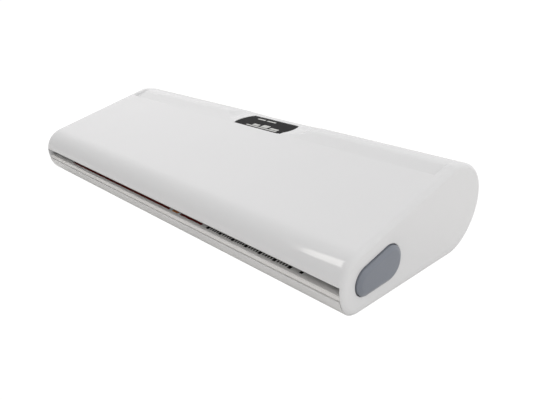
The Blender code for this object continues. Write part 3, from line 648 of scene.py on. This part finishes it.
def pan_section(rear_top):
    """Closed section of the base: round front lip, floor, rear wall up to rear_top."""
    r = 0.55
    fronts = [nose_bottom(t) for t in merged([i / 20 * math.pi / 2 for i in range(20)], [nose_bottom_t(LOWER_LIP_Z - r)], 0.03)]
    fronts = [p for p in fronts if p[1] <= LOWER_LIP_Z - r + 1e-6]
    z0 = 14.0
    rears = [rear_lower(t) for t in [rear_lower_t(z0) + (math.pi / 2 - rear_lower_t(z0)) * i / 14 for i in range(15)]]
    rise = [(z0 + (rear_top - r - z0) * k / 6) for k in range(1, 7)]
    outer = sorted(fronts, key=lambda p: -p[1]) + sorted(rears, key=lambda p: (p[1], p[0]))
    outer += [rear_lower(rear_lower_t(z)) for z in rise]
    yo = rear_lower(rear_lower_t(rear_top))[0]
    yi, yi2 = crossing(INNER, rear_top, True), crossing(INNER, rear_top - 0.4, True)
    outer += bend(outer[-1], (yo, rear_top), (yo - r, rear_top), 4) + [(yo - r, rear_top), (yi + 0.4, rear_top)]
    outer += bend((yi + 0.4, rear_top), (yi, rear_top), (yi2, rear_top - 0.4), 3) + [(yi2, rear_top - 0.4)]
    outer += [(crossing(INNER, z, True), z) for z in (13.0, 9.5, 6.5, 4.2)]
    outer += [(REAR_BOTTOM_Y, WALL), (NOSE_BOTTOM_Y, WALL)]
    outer += [(crossing(INNER, z, False), z) for z in (3.6, 5.2, 7.6, 10.4)]
    yf, yf2 = crossing(INNER, LOWER_LIP_Z, False), crossing(INNER, LOWER_LIP_Z - 0.4, False)
    outer += [(yf2, LOWER_LIP_Z - 0.4)] + bend((yf2, LOWER_LIP_Z - 0.4), (yf, LOWER_LIP_Z), (yf - 0.4, LOWER_LIP_Z), 3) + [(yf - 0.4, LOWER_LIP_Z)]
    yl = nose_bottom(nose_bottom_t(LOWER_LIP_Z))[0]
    outer += [(yl + r, LOWER_LIP_Z)] + bend((yl + r, LOWER_LIP_Z), (yl, LOWER_LIP_Z), outer[0], 4)
    return outer


def build_lower():
    rings = []
    full, low = REAR_TOP_Z, EXIT_BOTTOM_Z
    xs = [PAN_HALF, PAN_HALF - 0.5, 160.0, 145.0, 130.0, 126.4, 125.6, 125.1, 124.8, 124.6, 124.4, 124.2, 124.0, 123.8, 123.5, 123.0, 122.2, 110.0, 80.0, 40.0]
    for x in [-v for v in xs] + [0.0] + xs[::-1]:
        t = min(max((abs(x) - 123.2) / 2.2, 0.0), 1.0)
        share = 1 / (1 + math.exp(-(abs(x) - 124.3) / 0.16)) if 0 < t < 1 else t
        rings.append([(x, y, z) for y, z in pan_section(low + (full - low) * share)])
    return loft(rings)


lower_housing = place("lower_housing_pan", build_lower(), WHITE_LOW)
welds = bmesh.new()
for side in (-1, 1):
    block(*sorted((side * 170.9, side * 172.3)), 13, 118, 1.0, 8.0, welds)
for x, y, _ in BOSSES:
    rod_z(x, y, 5.0, 1.0, 5.6, 24, welds)
for x, y in ((-162.0, 44.0), (-138.0, 44.0), (-162.0, 100.0), (-138.0, 100.0)):
    rod_z(x, y, 2.5, 1.0, 7.6, 16, welds)
block(147, 159, 25, 37, 1.5, 13.7, welds)
block(-120, 120, 47.2, 48.6, 1.0, 12.0, welds)
block(-120, 120, 101.6, 103.0, 1.0, 12.0, welds)
boolean(lower_housing, welds, "UNION")
collar = []
for y, r in ((129.0, 8.0), (141.9, 8.0), (142.25, 7.9), (142.5, 7.6), (142.6, 7.2)):
    collar.append([(a, y, b) for a, b in circle(GLAND_X, GLAND_Z, r, 48)])
boolean(lower_housing, loft(collar), "UNION")
cuts = bmesh.new()
rod_y(GLAND_X, GLAND_Z, 4.8, 120, 150, 40, cuts)
for x, y, _ in BOSSES:
    rod_z(x, y, 1.6, 3.0, 8.0, 16, cuts)
    loft([[(a, b, z) for a, b in circle(x, y, r, 32)] for z, r in ((-3.0, 4.2), (-0.01, 4.0), (0.2, 3.7), (0.5, 3.5), (3.0, 3.5))], cuts)
for x, y in FEET.values():
    rod_z(x, y, 2.8, -3.0, 2.3, 24, cuts)
boolean(lower_housing, cuts)
boolean(lower_housing, rod_y(GLAND_X, GLAND_Z, 6.8, 142.55, 152.0, 48))
vents = bmesh.new()
for i in range(12):
    x = -99.0 + 18.0 * i
    arc = [math.pi * k / 8 for k in range(9)]
    shape = [(x + 1.6 * math.cos(a), 86.4 + 1.6 * math.sin(a)) for a in arc] + [(x - 1.6 * math.cos(a), 63.6 - 1.6 * math.sin(a)) for a in arc]
    middle = (x, 75.0)
    rings = []
    for z, grow in ((-3.0, 1.0), (-0.001, 0.55), (0.25, 0.2), (0.6, 0.0), (6.0, 0.0)):
        rings.append([(px + grow * (1 if px > middle[0] else -1), py + grow * (1 if py > middle[1] else -1), z) for px, py in shape])
    loft(rings, vents)
boolean(lower_housing, vents)
split_large_faces(lower_housing)
shade(lower_housing, 33.0)
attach(lower_housing, "root")
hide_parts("lower_housing")


# ---- feed table and its print -----------------------------------------------
def table_top(y):
    return 16.2 + 0.1125 * (y - 2.0)


def build_table():
    """The table's front section, swept along X; narrower strips behind it."""
    outline = [(-172.7, 2.3), (172.7, 2.3), (172.7, 8.0), (163.0, 8.0), (163.0, 16.0), (126.3, 16.0), (126.3, 50.0),
               (-126.3, 50.0), (-126.3, 16.0), (-163.0, 16.0), (-163.0, 8.0), (-172.7, 8.0)]
    return loft([[(x, y, table_top(y) - 1.8) for x, y in outline], [(x, y, table_top(y)) for x, y in outline]])


# the table's lightened white paints light onto its shaded strip under the lip
infeed_table = place("infeed_table_plate", build_table(), SATIN_WHITE_PAINTED_LIGHT)
boolean(infeed_table, block(-172.6, 172.6, 2.0, 3.8, 13.6, 15.6), "UNION")
rounded(infeed_table, 0.35, 3, 45.0)
split_large_faces(infeed_table)
shade(infeed_table, 50.0)
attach(infeed_table, "root")
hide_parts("infeed_table")


def ink(name, spans, y0, y1, mat, thick=0.06):
    """Flat printed marks on the table: each span is a bar from x0 to x1."""
    bm = bmesh.new()
    for x0, x1, lift0, lift1 in spans:
        ya, yb = y0 + (y1 - y0) * lift0, y0 + (y1 - y0) * lift1
        low = [(x0, ya, table_top(ya) - 0.02), (x1, ya, table_top(ya) - 0.02), (x1, yb, table_top(yb) - 0.02), (x0, yb, table_top(yb) - 0.02)]
        edge = min(0.15, (x1 - x0) / 4, (yb - ya) / 4)
        high = [(x0 + edge, ya + edge, table_top(ya) + thick), (x1 - edge, ya + edge, table_top(ya) + thick), (x1 - edge, yb - edge, table_top(yb) + thick), (x0 + edge, yb - edge, table_top(yb) + thick)]
        loft([low, high], bm)
    obj = place(name, bm, mat)
    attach(obj, "root")
    return obj


ink("infeed_table_print_red", [(-134.0, 14.0, 0.0, 1.0), (27.0, 51.5, 0.0, 1.0)], 5.1, 7.2, RED_INK)
ink("infeed_table_print_amber", [(17.5, 24.5, 0.0, 1.0)], 5.1, 7.2, AMBER_INK)
ticks = []
x = 57.0
n = 0
while x < 132.0:
    width = 1.3 if n % 5 else 2.6
    ticks.append((x, x + width, 0.0 if n % 5 else -0.25, 1.0))
    x += 2.2 if n % 5 else 3.6
    n += 1
ticks.append((140.4, 142.6, 0.0, 1.0))
ink("infeed_table_print_scale", ticks, 5.1, 7.2, DARK_INK)

# ---- badge ------------------------------------------------------------------
rings = []
for drop, grow in ((-BADGE_THICK, -0.1), (-BADGE_THICK + 0.1, 0.0), (-0.35, 0.0), (-0.16, -0.05), (-0.05, -0.16), (0.0, -0.35), (0.0, -0.7)):
    rings.append([(x, y, badge_plane(y) + drop) for x, y in badge_outline(grow)])
badge_panel = place("badge_panel_plate", loft(rings), BADGE)
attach(badge_panel, "root")
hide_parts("badge_panel")


def decal(name, outlines, mat, thick=0.05):
    bm = bmesh.new()
    for outline in outlines:
        loft([[(x, y, badge_plane(y) - 0.05) for x, y in outline], [(x, y, badge_plane(y) + thick) for x, y in outline]], bm)
    obj = place(name, bm, mat)
    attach(obj, "root")
    return obj


def pill(x0, x1, y0, y1, r, steps=5):
    points = []
    for cx, cy, start in ((x1 - r, y1 - r, 0), (x0 + r, y1 - r, 1), (x0 + r, y0 + r, 2), (x1 - r, y0 + r, 3)):
        for k in range(steps + 1):
            a = math.pi / 2 * (start + k / steps)
            points.append((cx + r * math.cos(a), cy + r * math.sin(a)))
    return points


decal("badge_panel_bars", [pill(-5.5, 3.6, 110.6, 112.6, 0.9), pill(5.4, 15.5, 110.6, 112.6, 0.9)], PALE_INK)
sheets = [pill(-2.0, 32.0, 94.4, 96.2, 0.8), pill(2.5, 9.5, 97.0, 100.6, 0.7), pill(12.0, 19.5, 97.0, 102.4, 0.7), pill(22.0, 31.0, 97.0, 100.0, 0.7)]
decal("badge_panel_pictogram", sheets, PALE_INK)

# ---- power button -----------------------------------------------------------
rings = []
for x, grow in ((169.9, 1.7), (170.1, 1.8), (172.1, 1.8), (172.3, 1.6), (172.3, 0.0), (175.2, 0.0), (175.7, 0.0), (175.86, -0.04), (175.98, -0.14), (176.08, -0.3),
                (176.25, -0.62), (176.55, -1.12), (176.85, -1.62), (177.02, -1.92), (177.16, -2.2), (177.27, -2.5), (177.33, -2.85), (177.36, -3.3), (177.42, -4.6), (177.47, -6.2), (177.5, -7.6)):
    rings.append([(x, y, z) for y, z in button_hull(grow)])
power_button = place("power_button_cap", loft(rings), GREY)
boolean(power_button, block(153.0, 170.9, 29.0, 33.0, 19.0, 23.0), "UNION")
split_large_faces(power_button)
shade(power_button, 40.0)
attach(power_button, "button")
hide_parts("power_button")

# ---- gland, feet and screws -------------------------------------------------
gland = [(131.0, 3.2), (131.0, 4.5), (142.9, 4.5), (142.9, 6.1), (143.0, 6.3), (143.3, 6.35), (143.8, 6.2), (144.1, 5.9), (144.2, 5.4), (144.2, 3.7), (144.0, 3.35), (143.7, 3.2)]
cord_gland = place("cord_gland_ring", turned(gland, (GLAND_X, 0, GLAND_Z), "Y", 48, True), RUBBER)
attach(cord_gland, "root")
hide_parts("cord_gland")
for name, (x, y) in FEET.items():
    foot = [(-FOOT_HEIGHT + 0.25, 0), (-FOOT_HEIGHT + 0.25, 4.2), (-FOOT_HEIGHT + 0.1, 4.5), (-FOOT_HEIGHT, 4.8), (-FOOT_HEIGHT, 6.1), (-FOOT_HEIGHT + 0.12, 6.55), (-FOOT_HEIGHT + 0.45, 6.85),
            (-1.0, 6.98), (-0.5, 7.0), (-SEAM, 6.85), (-SEAM, 2.5), (1.7, 2.5), (1.9, 2.3), (1.9, 0)]
    piece = place(f"{name}_pad", turned(foot, (x, y, 0), "Z", 40), RUBBER)
    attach(piece, "root")
    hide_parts(name)
for name, (x, y) in SCREWS.items():
    screw = [(0.95, 0), (0.95, 1.9), (1.05, 2.3), (1.3, 2.65), (1.6, 2.85), (2.0, 2.9), (2.7, 2.9), (2.7, 1.0)]
    z = 3.1
    while z < 13.4:
        screw += [(z, 0.86), (z + 0.22, 1.12), (z + 0.44, 0.86)]
        z += 0.88
    screw += [(13.8, 0.8), (14.4, 0.25), (14.4, 0)]
    piece = place(f"{name}_body", turned(screw, (x, y, 0), "Z", 28), ZINC)
    cross = bmesh.new()
    block(x - 1.5, x + 1.5, y - 0.32, y + 0.32, 0.5, 1.9, cross)
    boolean(piece, cross)
    cross = bmesh.new()
    block(x - 0.32, x + 0.32, y - 1.5, y + 1.5, 0.5, 1.9, cross)
    boolean(piece, cross)
    shade(piece, 35.0)
    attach(piece, "root")
    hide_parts(name)

# ---- stage, lights and camera -----------------------------------------------
floor_bm = bmesh.new()
bmesh.ops.create_grid(floor_bm, x_segments=8, y_segments=8, size=20.0)
floor_mesh = bpy.data.meshes.new("studio_floor")
floor_bm.to_mesh(floor_mesh)
floor_bm.free()
floor = bpy.data.objects.new("studio_floor", floor_mesh)
collection.objects.link(floor)
# the floor shows plain white to the camera; to every other ray its colour is painted darker in front and lighter behind
# and it glows faintly, painting shade and light into what it throws back onto the casing
FLOOR_FRONT, FLOOR_BACK, FLOOR_FILL = 0.68, 0.86, 0.08
floor_mat = bpy.data.materials.new("studio_floor_white")
floor_mat.use_nodes = True
tree = floor_mat.node_tree
tree.nodes.clear()
output = tree.nodes.new("ShaderNodeOutputMaterial")
mix = tree.nodes.new("ShaderNodeMixShader")
diffuse = tree.nodes.new("ShaderNodeBsdfDiffuse")
shift = tree.nodes.new("ShaderNodeVectorMath")
shift.operation = "DOT_PRODUCT"
shift.inputs[1].default_value = (0.66, 0.75, 0.0)
tree.links.new(tree.nodes.new("ShaderNodeTexCoord").outputs["Object"], shift.inputs[0])
floor_painted_shade = tree.nodes.new("ShaderNodeMapRange")
floor_painted_shade.interpolation_type = "SMOOTHSTEP"
for socket, value in (("From Min", -0.9), ("From Max", 0.9), ("To Min", FLOOR_FRONT), ("To Max", FLOOR_BACK)):
    floor_painted_shade.inputs[socket].default_value = value
tree.links.new(shift.outputs["Value"], floor_painted_shade.inputs["Value"])
warm = tree.nodes.new("ShaderNodeVectorMath")
warm.operation = "SCALE"
warm.inputs[0].default_value = (1.0, 0.99, 0.978)
tree.links.new(floor_painted_shade.outputs["Result"], warm.inputs["Scale"])
tree.links.new(warm.outputs["Vector"], diffuse.inputs["Color"])
glow = tree.nodes.new("ShaderNodeEmission")
glow.inputs["Color"].default_value = (1.0, 1.0, 1.0, 1.0)
glow.inputs["Strength"].default_value = 1.05
path = tree.nodes.new("ShaderNodeLightPath")
tree.links.new(path.outputs["Is Camera Ray"], mix.inputs["Fac"])
fill = tree.nodes.new("ShaderNodeEmission")
fill.inputs["Color"].default_value = (1.0, 0.99, 0.978, 1.0)
fill.inputs["Strength"].default_value = FLOOR_FILL
both = tree.nodes.new("ShaderNodeAddShader")
tree.links.new(diffuse.outputs["BSDF"], both.inputs[0])
tree.links.new(fill.outputs["Emission"], both.inputs[1])
tree.links.new(both.outputs["Shader"], mix.inputs[1])
tree.links.new(glow.outputs["Emission"], mix.inputs[2])
tree.links.new(mix.outputs["Shader"], output.inputs["Surface"])
floor_mesh.materials.append(floor_mat)

DOME_LOW, DOME_SIDE, DOME_TOP, DOME_RIGHT, DOME_BACK = -0.1, 0.70, 0.87, 0.25, 0.31
PANEL_AIM, PANEL_FOCUS, PANEL_GLOW, STRIP_GLOW = (160.0, 29.0), 9.0, 0.60, 4.6
world = bpy.data.worlds.new("studio_dome")
scene.world = world
world.use_nodes = True
tree = world.node_tree
background = tree.nodes["Background"]
direction = tree.nodes.new("ShaderNodeTexCoord").outputs["Generated"]


def aimed(azimuth, elevation):
    a, e = math.radians(azimuth), math.radians(elevation)
    return Vector((math.cos(a) * math.cos(e), math.sin(a) * math.cos(e), math.sin(e)))


def along(vector):
    """How far the looked-at direction points along a fixed vector."""
    node = tree.nodes.new("ShaderNodeVectorMath")
    node.operation = "DOT_PRODUCT"
    node.inputs[1].default_value = vector
    tree.links.new(direction, node.inputs[0])
    return node.outputs["Value"]


def calc(operation, first, second):
    node = tree.nodes.new("ShaderNodeMath")
    node.operation = operation
    for socket, value in zip(node.inputs, (first, second)):
        if isinstance(value, (int, float)):
            socket.default_value = value
        else:
            tree.links.new(value, socket)
    return node.outputs["Value"]


def ranged(value, from_low, from_high, to_low, to_high, smooth=True):
    node = tree.nodes.new("ShaderNodeMapRange")
    node.interpolation_type = "SMOOTHSTEP" if smooth else "LINEAR"
    node.inputs["From Min"].default_value = from_low
    node.inputs["From Max"].default_value = from_high
    node.inputs["To Min"].default_value = to_low
    node.inputs["To Max"].default_value = to_high
    tree.links.new(value, node.inputs["Value"])
    return node.outputs["Result"]


def tinted(value, colour):
    node = tree.nodes.new("ShaderNodeVectorMath")
    node.operation = "SCALE"
    node.inputs[0].default_value = colour
    tree.links.new(value, node.inputs["Scale"])
    return node.outputs["Vector"]


def added(first, second):
    node = tree.nodes.new("ShaderNodeVectorMath")
    node.operation = "ADD"
    tree.links.new(first, node.inputs[0])
    tree.links.new(second, node.inputs[1])
    return node.outputs["Vector"]


# the dome: brighter overhead and towards the button end, dimmer in front of the nose
dome = ranged(along((0, 0, 1)), DOME_LOW, 1.0, DOME_SIDE, DOME_TOP)
lean = calc("ADD", along((DOME_RIGHT, DOME_BACK, 0)), 1.0)
light = tinted(calc("MULTIPLY", dome, lean), (1.0, 0.998, 1.0))
# a broad panel behind the far end, which the flat top reflects
panel = calc("POWER", calc("MAXIMUM", along(aimed(PANEL_AIM[0], PANEL_AIM[1])), 0.0), PANEL_FOCUS)
light = added(light, tinted(calc("MULTIPLY", panel, PANEL_GLOW), (1.0, 0.975, 0.985)))
# a tall strip box in front of the far end; its left side cuts the bright line on the nose
corners = [aimed(-145.0, 44.6), aimed(-153.0, 55.5), aimed(-131.5, 40.5), aimed(-133.2, 30.2)]
middle = sum(corners, Vector()).normalized()
mask = None
for first, second in zip(corners, corners[1:] + corners[:1]):
    square = first.cross(second).normalized()
    if square.dot(middle) < 0:
        square = -square
    edge = ranged(along(square), -0.006, 0.004, 0.0, 1.0)
    mask = edge if mask is None else calc("MULTIPLY", mask, edge)
light = added(light, tinted(calc("MULTIPLY", mask, STRIP_GLOW), (1.0, 0.975, 0.94)))
tree.links.new(light, background.inputs["Color"])
background.inputs["Strength"].default_value = 1.0
scene.view_settings.view_transform = "Standard"


camera_data = bpy.data.cameras.new("camera")
camera = bpy.data.objects.new("camera", camera_data)
collection.objects.link(camera)
yaw, pitch, roll = math.radians(46.2438), math.radians(22.45204), math.radians(0.5126)
ahead = Vector((-math.sin(yaw) * math.cos(pitch), math.cos(yaw) * math.cos(pitch), -math.sin(pitch)))
right = ahead.cross(Vector((0, 0, 1))).normalized()
down = ahead.cross(right)
right2 = right * math.cos(roll) + down * math.sin(roll)
down2 = -right * math.sin(roll) + down * math.cos(roll)
camera.matrix_world = Matrix.Translation((0.32282 - 0.00125, -0.19354 - 0.07245, 0.17159 + 0.002)) @ Matrix((right2, -down2, -ahead)).transposed().to_4x4()
camera_data.sensor_fit = "HORIZONTAL"
camera_data.sensor_width = 36.0
camera_data.lens = 551.085 * 36.0 / 533.0
camera_data.shift_x = -0.5 / 533
camera_data.shift_y = 0.5 / 533
camera_data.clip_start, camera_data.clip_end = 0.01, 100.0
scene.camera = camera
